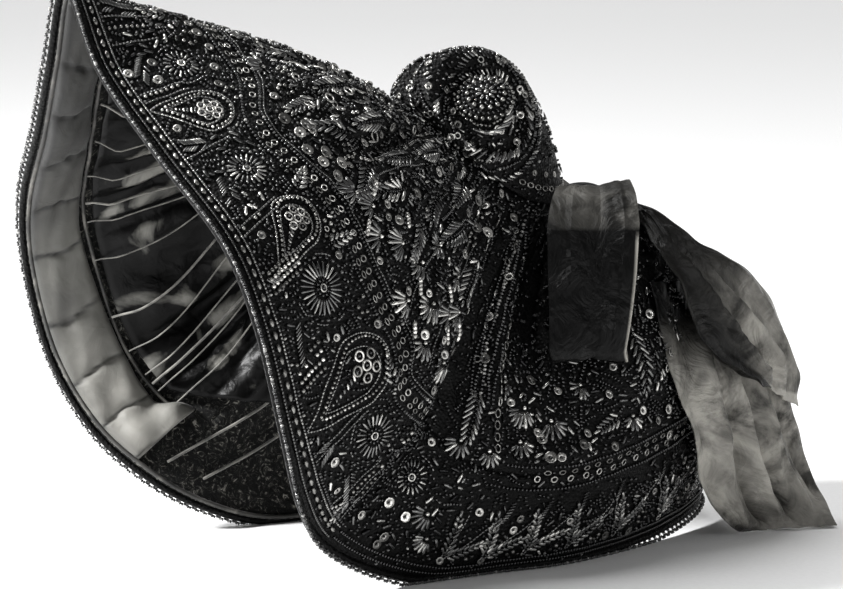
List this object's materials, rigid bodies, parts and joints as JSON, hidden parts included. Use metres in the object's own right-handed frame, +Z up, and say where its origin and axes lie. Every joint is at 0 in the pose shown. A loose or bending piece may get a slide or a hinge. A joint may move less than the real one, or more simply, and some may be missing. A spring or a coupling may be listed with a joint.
{
  "type": "beaded poke bonnet",
  "caption": "Gala bonnet of black beaded cloth: peaked poke brim with paisley border, pleated crown gathered to a stuffed knob, quilted satin facing, silk bow and tails behind.",
  "frame": {"origin": "on the resting surface, under the middle of the overall size", "axes": "-Y out of the face opening, +X to the wearer's left, +Z up, as the bonnet stands on its neck edge"},
  "size_m": [0.2512, 0.3858, 0.2764],
  "materials": {
    "beaded_cloth": "black cloth under close glass beadwork and sequins",
    "lining_silk": "dark shirred silk, soft sheen",
    "facing_satin": "pale grey satin, quilted",
    "glass_beads": "glossy black glass",
    "ribbon_silk": "black figured silk ribbon with a pale selvage"
  },
  "bodies": {
    "root": {"crown": "beaded_cloth", "brim": "beaded_cloth", "nape_band": "beaded_cloth", "lining": "lining_silk", "facing": "facing_satin", "facing_cord": "facing_satin", "edge_trim": "glass_beads", "knob": "beaded_cloth", "knob_button": "glass_beads", "bow_knot": "ribbon_silk", "bow_loop_near": "ribbon_silk", "bow_loop_far": "ribbon_silk", "bow_tail_upper": "ribbon_silk", "bow_tail_lower": "ribbon_silk"}
  },
  "joints": []
}
